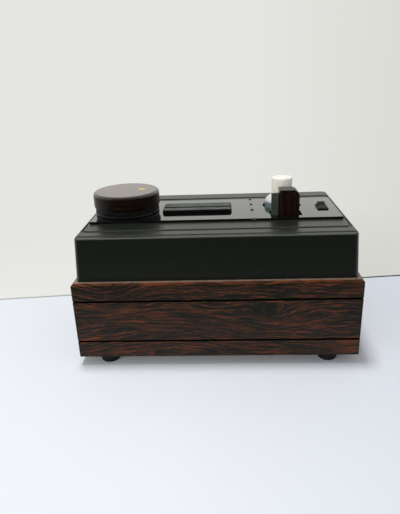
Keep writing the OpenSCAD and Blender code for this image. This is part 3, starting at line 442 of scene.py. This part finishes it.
def blue_fluid():
    s = Shader("fluid", ior=1.34, rough=0.08, through=0.35)
    swirl = s.noise(26.0, detail=3.0, bend=1.0)
    s.set(color=s.ramp(swirl, (0.3, srgb(92, 126, 142)), (0.7, srgb(122, 156, 170))))
    return s.material


def white_cap():
    s = Shader("cap_plastic", ior=1.49, rough=0.36, scatter=0.25, scatter_radius=(1.0, 0.9, 0.7), scatter_scale=0.0015)
    cloud = s.noise(70.0, detail=4.0, rough=0.6)
    speck = s.noise(1800.0, detail=2.0)
    grime = s.ramp(s.noise(26.0, detail=5.0, rough=0.7), (0.50, 0.0), (0.85, 0.5))
    s.set(color=s.mix(grime, s.ramp(cloud, (0.3, srgb(245, 241, 226)), (0.7, srgb(252, 250, 240))), srgb(205, 196, 170)))
    s.set(rough=s.ramp(cloud, (0.3, 0.30), (0.7, 0.46)))
    s.set(normal=s.bump(speck, 0.25, 0.00004))
    return s.material


def plywood():
    s = Shader("plywood", ior=1.45, rough=0.6)
    x, y, z = s.axes()
    grain = s.noise(1.0, s.vector(s.math("MULTIPLY", x, 9.0), s.math("MULTIPLY", y, 190.0), s.math("MULTIPLY", z, 190.0)),
                    detail=4.0, rough=0.6, bend=0.4)
    s.set(color=s.ramp(grain, (0.32, srgb(96, 74, 54)), (0.5, srgb(128, 100, 74)), (0.7, srgb(152, 122, 92))))
    s.set(rough=s.ramp(grain, (0.3, 0.5), (0.7, 0.72)))
    s.set(normal=s.bump(grain, 0.3, 0.0002))
    return s.material


def lacquered_brass():
    s = Shader("brass", metal=0.35, rough=0.4, color=srgb(240, 190, 110), coat=0.2, coat_rough=0.3)
    cloud = s.noise(240.0, detail=4.0)
    s.set(color=s.ramp(cloud, (0.3, srgb(236, 176, 92)), (0.7, srgb(252, 208, 132))))
    s.set(rough=s.ramp(cloud, (0.3, 0.36), (0.7, 0.52)))
    s.set(normal=s.bump(cloud, 0.15, 0.00005))
    return s.material


AXIS = (-0.1275, 0.0035)
BOARDS = {
    "front_board": veneer("veneer_front", FRONT, 0.0),
    "rear_board": veneer("veneer_rear", FRONT, 0.11),
    "left_board": veneer("veneer_left", SIDE, 0.06),
    "right_board": veneer("veneer_right", SIDE, -0.05),
}
hood_plastic = moulded("hood_plastic", srgb(12, 17, 8), 0.32, 1.56, grain=1500.0, relief=0.00005, dust_and_sheen=0.04, cloud=900.0,
                       riser_highlight=(92, 94, 88))
black_plastic = moulded("black_plastic", srgb(9, 11, 9), 0.36, 1.30, grain=1900.0)
well_plastic = moulded("well_plastic", srgb(12, 13, 13), 0.42, 1.40)
switch_plastic = moulded("switch_plastic", srgb(20, 23, 20), 0.34, 1.22, grain=2400.0, relief=0.00003)
grey_rubber = rubber("hose_rubber", srgb(38, 40, 39))
black_rubber = rubber("black_rubber", srgb(13, 13, 13))
tank_plastic = moulded("tank_plastic", srgb(196, 191, 172), 0.45, 1.48, grain=900.0)
platter_metal = brushed("platter_metal", srgb(46, 50, 48), 0.30, axis=2, metal=0.75)
steel = brushed("steel", srgb(176, 178, 176), 0.28, axis=0)
zinc = brushed("zinc", srgb(158, 158, 152), 0.34, axis=2)
strip_metal = brushed("strip_metal", srgb(118, 118, 114), 0.14, axis=1, metal=0.45)
bearing_brass = brushed("bearing_brass", srgb(178, 150, 96), 0.34, axis=2)
motor_enamel = enamel("motor_metal", srgb(104, 108, 106))
fan_enamel = enamel("fan_metal", srgb(138, 141, 137))
board_ply = plywood()
knob_wood = turned_wood("knob_wood", AXIS, srgb(26, 14, 9), srgb(70, 38, 22), srgb(122, 68, 40))

MATERIALS = {
    **BOARDS,
    "hood_cleats": board_ply, "bottom_panel": board_ply,
    "foot_front_left": black_rubber, "foot_front_right": black_rubber,
    "foot_rear_left": black_rubber, "foot_rear_right": black_rubber,
    "foot_screws": zinc, "panel_screws": zinc,
    "hood": hood_plastic, "deck_plate_left": gloss_plate(), "joint_strip": strip_metal,
    "bearing_housing": bearing_brass, "platter": platter_metal, "shaft_collar": bearing_brass,
    "platter_mat": black_rubber, "clamp_knob": knob_wood, "clamp_bush": bearing_brass, "clamp_pad": black_rubber,
    "index_dot": lacquered_brass(), "pickup_bar": black_plastic, "pickup_duct": well_plastic,
    "velvet_lip_front": velvet(), "suction_hose": grey_rubber, "waste_tank": tank_plastic,
    "intake_sleeve": grey_rubber, "fan_case": fan_enamel, "motor_case": motor_enamel, "motor_rotor": steel,
    "motor_cradle": motor_enamel, "drain_plug": black_rubber, "bottle_well": well_plastic,
    "fluid_bottle": clear_bottle(), "cleaning_fluid": blue_fluid(), "bottle_cap": white_cap(),
    "brush_well": well_plastic, "brush_handle": handle_wood(), "brush_bristles": bristle_fibre(),
    "switch_frame": switch_plastic, "switch_rocker": switch_plastic, "cord_gland": black_plastic,
}
MATERIALS["deck_plate_right"] = MATERIALS["deck_plate_left"]
MATERIALS["velvet_lip_rear"] = MATERIALS["velvet_lip_front"]

for name, obj in nodes.items():
    obj.data.materials.clear()
    obj.data.materials.append(MATERIALS[name])

# ---------------------------------------------------------------- eased edges on CAD pieces

EASED = {
    "deck_plate_left": 0.15, "deck_plate_right": 0.15, "joint_strip": 0.12, "pickup_bar": 0.35, "brush_handle": 2.0,
    "switch_frame": 0.30, "switch_rocker": 0.35, "bottom_panel": 0.4, "hood_cleats": 0.5, "index_dot": 0.15,
    "drain_plug": 0.4, "motor_cradle": 0.5, "waste_tank": 1.2, "cord_gland": 0.4, "clamp_pad": 0.3, "platter_mat": 0.15,
    "hood": 0.45,
}


def ease_edges(obj, width):
    weld = obj.modifiers.new("weld", "WELD")
    weld.merge_threshold = 0.000002
    bevel = obj.modifiers.new("bevel", "BEVEL")
    bevel.width = width * MM
    bevel.segments = 3
    bevel.limit_method = "ANGLE"
    bevel.angle_limit = math.radians(40)
    bevel.use_clamp_overlap = True
    bevel.harden_normals = True


for name, width in EASED.items():
    ease_edges(nodes[name], width)

# ---------------------------------------------------------------- pieces

rng = np.random.default_rng(7)


def piece(name, verts, faces, node, material=None, smooth=None):
    """A mesh in the frame's metres that stands for a CAD node and rides on that node's body."""
    mesh = bpy.data.meshes.new(name)
    mesh.from_pydata([tuple(v) for v in verts], [], [tuple(f) for f in faces])
    mesh.validate()
    mesh.update()
    obj = bpy.data.objects.new(name, mesh)
    bpy.context.collection.objects.link(obj)
    mesh.materials.append(material or MATERIALS[node])
    if smooth is not None:
        mesh.polygons.foreach_set("use_smooth", [True] * len(mesh.polygons))
        mesh.set_sharp_from_angle(angle=math.radians(smooth))
    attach(obj, body_of(nodes[node])[0])
    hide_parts(node)
    return obj


def strands(roots, tips, half_root, half_tip, sides):
    """Closed tapered strands from roots to tips, as one list of vertices and faces."""
    count = len(roots)
    along = tips - roots
    along /= np.linalg.norm(along, axis=1)[:, None]
    helper = np.where(np.abs(along[:, [2]]) > 0.9, np.array([[1.0, 0, 0]]), np.array([[0, 0, 1.0]]))
    u = np.cross(along, helper)
    u /= np.linalg.norm(u, axis=1)[:, None]
    v = np.cross(along, u)
    turn = rng.uniform(0, 2 * math.pi, count)
    rings = []
    for end, half in ((roots, half_root), (tips, half_tip)):
        for k in range(sides):
            a = turn + 2 * math.pi * k / sides
            rings.append(end + half * (np.cos(a)[:, None] * u + np.sin(a)[:, None] * v))
    verts = np.stack(rings, axis=1).reshape(-1, 3)
    faces = []
    for i in range(count):
        b = i * 2 * sides
        for k in range(sides):
            n = (k + 1) % sides
            faces.append((b + k, b + n, b + sides + n, b + sides + k))
        faces.append(tuple(b + sides + k for k in range(sides)))
        faces.append(tuple(b + k for k in reversed(range(sides))))
    return verts, faces


def pillow(lo, hi, edge, rows, columns, sag):
    """A closed strip whose long edges are round: rows along X, columns across Y; sag wavers its top."""
    x = np.linspace(lo[0], hi[0], rows)
    t = np.linspace(0, 1, columns)
    y = lo[1] + (hi[1] - lo[1]) * t
    side = np.minimum(y - lo[1], hi[1] - y)
    top = hi[2] - edge + np.sqrt(np.clip(edge ** 2 - np.clip(edge - side, 0, edge) ** 2, 0, None))
    ends = np.minimum(x - lo[0], hi[0] - x)
    drop = edge - np.sqrt(np.clip(edge ** 2 - np.clip(edge - ends, 0, edge) ** 2, 0, None))
    wave = sag * (np.sin(x[:, None] * 310 + y[None, :] * 240) + np.sin(x[:, None] * 127 - y[None, :] * 510)) / 2
    z = np.clip(top[None, :] - drop[:, None] - np.abs(wave), lo[2] + 0.0001, hi[2])
    verts = [(x[i], y[j], z[i, j]) for i in range(rows) for j in range(columns)]
    verts += [(x[i], y[j], lo[2]) for i in range(rows) for j in range(columns)]
    under = rows * columns
    faces = []
    for i in range(rows - 1):
        for j in range(columns - 1):
            a, b = i * columns + j, (i + 1) * columns + j
            faces.append((a, b, b + 1, a + 1))
            faces.append((under + a, under + a + 1, under + b + 1, under + b))
    for i in range(rows - 1):
        for j in (0, columns - 1):
            a, b = i * columns + j, (i + 1) * columns + j
            quad = (a, under + a, under + b, b)
            faces.append(quad if j == 0 else quad[::-1])
    for j in range(columns - 1):
        for i in (0, rows - 1):
            a, b = i * columns + j, i * columns + j + 1
            quad = (a, b, under + b, under + a)
            faces.append(quad if i == 0 else quad[::-1])
    return verts, faces


def velvet_lip(node):
    """The lip's pad with a short dense pile that lies to the right and back."""
    lo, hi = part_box(node)
    pile = 0.55 * MM
    pitch = 0.36 * MM
    margin = Vector((pile, pile, 0))
    verts, faces = pillow(lo + margin, hi - margin - Vector((0, 0, pile * 0.8)), 1.2 * MM, 90, 28, 0.04 * MM)
    piece(node + "_backing", verts, faces, node, smooth=50)
    nx = int((hi.x - lo.x - 2 * pile) / pitch)
    ny = int((hi.y - lo.y - 2 * pile) / pitch)
    gx, gy = np.meshgrid(np.arange(nx), np.arange(ny), indexing="ij")
    x = lo.x + pile + (gx.ravel() + 0.5 + rng.uniform(-0.35, 0.35, nx * ny)) * pitch
    y = lo.y + pile + (gy.ravel() + 0.5 + rng.uniform(-0.35, 0.35, nx * ny)) * pitch
    edge = 1.2 * MM
    reach = np.minimum(np.minimum(x - lo.x - pile, hi.x - pile - x), np.minimum(y - lo.y - pile, hi.y - pile - y))
    drop = edge - np.sqrt(np.clip(edge ** 2 - np.clip(edge - reach, 0, edge) ** 2, 0, None))
    z = hi.z - pile * 0.8 - drop - 0.05 * MM
    roots = np.stack([x, y, z], axis=1)
    lean = np.stack([rng.normal(0.16, 0.12, len(x)), rng.normal(0.22, 0.12, len(x)), np.ones(len(x))], axis=1)
    lean[:, 0] += np.clip((x - (lo.x + hi.x) / 2) / (hi.x - lo.x) * 0.1, -0.2, 0.2)
    lean /= np.linalg.norm(lean, axis=1)[:, None]
    tips = roots + lean * (pile * rng.uniform(0.7, 0.95, len(x)))[:, None]
    verts, faces = strands(roots, tips, 0.09 * MM, 0.03 * MM, 3)
    piece(node + "_pile", verts, faces, node)


for node in ("velvet_lip_front", "velvet_lip_rear"):
    velvet_lip(node)


def bristles():
    """Fine clipped strands in staggered rows on the strip that holds them."""
    lo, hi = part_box("brush_bristles")
    strip_t = 1.2 * MM
    x0 = hi.x - strip_t
    verts, faces = pillow(Vector((0, 0, 0)), Vector((hi.z - lo.z, hi.y - lo.y, strip_t)), 0.5 * MM, 40, 12, 0.0)
    verts = [(hi.x - z, lo.y + y, lo.z + x) for x, y, z in verts]
    piece("bristle_strip", verts, faces, "brush_bristles", black_plastic, smooth=50)
    pitch = 0.42 * MM
    edge = 0.45 * MM
    nz = int((hi.z - lo.z - 2 * edge) / pitch)
    ny = int((hi.y - lo.y - 2 * edge) / pitch)
    gz, gy = np.meshgrid(np.arange(nz), np.arange(ny), indexing="ij")
    z = lo.z + edge + (gz.ravel() + 0.5 * (gy.ravel() % 2) + rng.uniform(-0.2, 0.2, nz * ny)) * pitch
    y = lo.y + edge + (gy.ravel() + 0.5 + rng.uniform(-0.2, 0.2, nz * ny)) * pitch
    roots = np.stack([np.full(nz * ny, x0 + 0.3 * MM), y, z], axis=1)
    length = (x0 - lo.x) * rng.uniform(0.955, 0.995, nz * ny)
    sway_y = rng.normal(0, 0.012, nz * ny) * length
    sway_z = (rng.normal(0, 0.012, nz * ny) + 0.02 * np.sin(z * 900)) * length
    tips = np.stack([x0 - length, np.clip(y + sway_y, lo.y, hi.y), np.clip(z + sway_z, lo.z, hi.z)], axis=1)
    verts, faces = strands(roots, tips, 0.15 * MM, 0.11 * MM, 4)
    piece("bristle_strands", verts, faces, "brush_bristles")


bristles()


def lathe(profile, segments, center):
    """A closed surface turned about the upright line at center, from a profile of (radius, height) that starts and ends on it."""
    verts, faces = [], []
    rings = []
    for radius, height in profile:
        if radius <= 0:
            rings.append([len(verts)])
            verts.append((center[0], center[1], height))
            continue
        rings.append(list(range(len(verts), len(verts) + segments)))
        for k in range(segments):
            a = 2 * math.pi * k / segments
            verts.append((center[0] + radius * math.cos(a), center[1] + radius * math.sin(a), height))
    for low, high in zip(rings, rings[1:]):
        for k in range(segments):
            n = (k + 1) % segments
            if len(low) == 1:
                faces.append((low[0], high[n], high[k]))
            elif len(high) == 1:
                faces.append((low[k], low[n], high[0]))
            else:
                faces.append((low[k], low[n], high[n], high[k]))
    return verts, faces


def bottle_cap():
    """Screw cap with shallow rings down its side, a slightly domed top and its hollow underside."""
    lo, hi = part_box("bottle_cap")
    center = ((lo.x + hi.x) / 2, (lo.y + hi.y) / 2)
    radius = (hi.x - lo.x) / 2
    bore = 12.3 * MM
    ceiling = hi.z - 2.5 * MM
    rings, groove = 9, 0.16 * MM
    profile = [(0, ceiling), (bore - 0.6 * MM, ceiling), (bore, ceiling - 0.6 * MM), (bore, lo.z), (radius - 0.5 * MM, lo.z)]
    pitch = (hi.z - lo.z - 3.0 * MM) / rings
    for i in range(rings):
        z = lo.z + 0.5 * MM + i * pitch
        for part, depth in ((0.0, 1.0), (0.18, 0.25), (0.35, 0.0), (0.75, 0.0), (0.92, 0.25)):
            profile.append((radius - groove * depth, z + part * pitch))
    profile.append((radius - groove, lo.z + 0.5 * MM + rings * pitch))
    crown = 1.3 * MM
    for k in range(9):
        a = math.pi / 2 * k / 8
        profile.append((radius - crown + crown * math.cos(a), hi.z - 0.25 * MM - crown + crown * math.sin(a)))
    profile += [(radius * 0.80, hi.z - 0.12 * MM), (radius * 0.55, hi.z - 0.02 * MM), (radius * 0.25, hi.z), (0, hi.z)]
    verts, faces = lathe(profile, 128, center)
    piece("ringed_cap", verts, faces, "bottle_cap", smooth=50)


bottle_cap()

# ---------------------------------------------------------------- floor, light and background

PALE_FLOOR = srgb(231, 235, 241)
PALE_WALL = srgb(229, 230, 225)
WALL_LINE = (0.1345, 0.107)


def stage_plane(name, corners, material, **flags):
    mesh = bpy.data.meshes.new(name)
    mesh.from_pydata(corners, [], [(0, 1, 2, 3)])
    mesh.materials.append(material)
    obj = bpy.data.objects.new(name, mesh)
    bpy.context.collection.objects.link(obj)
    for key, value in flags.items():
        setattr(obj, key, value)


def floor_material():
    """Pale paper: two tones that meet behind the object, with painted shade towards the right and along the line where
    they meet; lit near the object, plain white light far from it, and a dim painted shade in front seen only by mirror
    rays.
    """
    s = Shader("floor_paper", rough=0.9, ior=1.2)
    x, y, z = s.axes()
    behind = s.math("SUBTRACT", y, s.math("ADD", s.math("MULTIPLY", x, WALL_LINE[1]), WALL_LINE[0]))
    # Painted shade: the paper darkens towards the right.
    paper_tone_and_shade = s.mix(s.span(x, -0.05, 0.35), PALE_FLOOR, srgb(218, 222, 231))
    # Painted shade: the wall's tone darkens towards the right.
    fan = s.math("DIVIDE", x, s.math("MAXIMUM", s.math("ADD", y, 0.68), 0.1))
    wall_tone_and_shade = s.mix(s.span(fan, 0.05, 0.36), PALE_WALL, srgb(218, 219, 213))
    tone = s.mix(s.span(behind, -0.001, 0.001), paper_tone_and_shade, wall_tone_and_shade)
    # Painted shade: a dark line where floor and wall tones meet, stronger to the right.
    corner_shade = s.span(s.math("ABSOLUTE", behind), 0.0016, 0.0034, 1.0, 0.0)
    paper = s.noise(260.0, detail=4.0)
    tone = s.mix(s.math("MULTIPLY", corner_shade, s.span(x, -0.4, 0.3, 0.45, 1.0)), tone, srgb(48, 46, 40))
    tone = s.mix(s.math("MULTIPLY", s.math("SUBTRACT", paper, 0.4), 0.05), tone, srgb(205, 208, 212))
    s.set(color=tone)
    far = s.node("VectorMath", s.place, operation="LENGTH", out=1)
    glow = s.node("Emission", tone, 1.0)
    camera = s.node("LightPath", out=0)
    amount = s.math("MULTIPLY", s.span(far, 0.34, 0.75), camera)
    lit = s.node("MixShader", amount, s.main.outputs[0], glow)
    mirror = s.node("LightPath", out=3)
    # Painted shade seen only by mirror rays: a dim grey floor in front of the object.
    dark = s.node("Emission", srgb(70, 70, 70), 1.0)
    mirrored_shade_ahead = s.math("MULTIPLY", s.span(y, -0.26, -0.36), mirror)
    above = s.node("MixShader", mirrored_shade_ahead, lit, dark)
    under = s.math("MULTIPLY", s.node("NewGeometry", out=6), camera)
    seen = s.node("MixShader", under, above, s.node("BsdfTransparent"))
    s.tree.links.new(seen, s.tree.nodes["Material Output"].inputs[0])
    return s.material


EXTENT = 6.0
stage_plane("floor", [(-EXTENT, -EXTENT, 0), (EXTENT, -EXTENT, 0), (EXTENT, EXTENT, 0), (-EXTENT, EXTENT, 0)], floor_material())


def background():
    """Even light from all round; camera, mirror and glass rays see the pale wall's tone, with painted shade towards the
    right for camera and glass rays.
    """
    world = bpy.data.worlds.new("studio")
    bpy.context.scene.world = world
    world.use_nodes = True
    tree = world.node_tree
    light = tree.nodes["Background"]
    light.inputs[0].default_value = (1.0, 1.0, 0.99, 1.0)
    light.inputs[1].default_value = WORLD_LEVEL
    seen = tree.nodes.new("ShaderNodeBackground")
    seen.inputs[1].default_value = 1.0
    view = tree.nodes.new("ShaderNodeTexCoord")
    side = tree.nodes.new("ShaderNodeSeparateXYZ")
    tree.links.new(view.outputs["Generated"], side.inputs[0])
    # Painted shade: the wall that camera and glass rays see darkens towards the right.
    wall_shade_ramp = tree.nodes.new("ShaderNodeValToRGB")
    wall_shade_ramp.color_ramp.elements[0].position, wall_shade_ramp.color_ramp.elements[0].color = 0.05, PALE_WALL
    wall_shade_ramp.color_ramp.elements[1].position, wall_shade_ramp.color_ramp.elements[1].color = 0.34, srgb(218, 219, 213)
    tree.links.new(side.outputs[0], wall_shade_ramp.inputs[0])
    tree.links.new(wall_shade_ramp.outputs[0], seen.inputs[0])
    level = tree.nodes.new("ShaderNodeMapRange")
    for socket, value in zip(level.inputs, (0.0, -0.75, 0.05, 0.12, 1.0)):
        socket.default_value = value
    tree.links.new(side.outputs[1], level.inputs[0])
    mirrored = tree.nodes.new("ShaderNodeBackground")
    mirrored.inputs[0].default_value = PALE_WALL
    tree.links.new(level.outputs[0], mirrored.inputs[1])
    path = tree.nodes.new("ShaderNodeLightPath")
    either = tree.nodes.new("ShaderNodeMath")
    either.operation = "MAXIMUM"
    tree.links.new(path.outputs["Is Camera Ray"], either.inputs[0])
    tree.links.new(path.outputs["Is Transmission Ray"], either.inputs[1])
    direct = tree.nodes.new("ShaderNodeMixShader")
    tree.links.new(either.outputs[0], direct.inputs[0])
    tree.links.new(light.outputs[0], direct.inputs[1])
    tree.links.new(seen.outputs[0], direct.inputs[2])
    mixed = tree.nodes.new("ShaderNodeMixShader")
    tree.links.new(path.outputs["Is Glossy Ray"], mixed.inputs[0])
    tree.links.new(direct.outputs[0], mixed.inputs[1])
    tree.links.new(mirrored.outputs[0], mixed.inputs[2])
    tree.links.new(mixed.outputs[0], tree.nodes["World Output"].inputs[0])


def soft_lamp(name, at, aim, size, power):
    data = bpy.data.lights.new(name, "AREA")
    data.shape = "RECTANGLE"
    data.size, data.size_y = size
    data.energy = power
    lamp = bpy.data.objects.new(name, data)
    bpy.context.collection.objects.link(lamp)
    lamp.location = at
    lamp.rotation_euler = (Vector(aim) - Vector(at)).to_track_quat("-Z", "Y").to_euler()
    return lamp


WORLD_LEVEL = 0.38
background()
key = soft_lamp("overhead_lamp", (-0.30, 0.10, 3.0), (0, 0, 0.0), (0.70, 0.50), 53.0)
key.visible_glossy = False
fill = soft_lamp("front_softbox", (-0.75, -1.35, 0.45), (0, 0, 0.12), (1.6, 0.5), 11.5)
fill.visible_glossy = False
fill.visible_camera = False
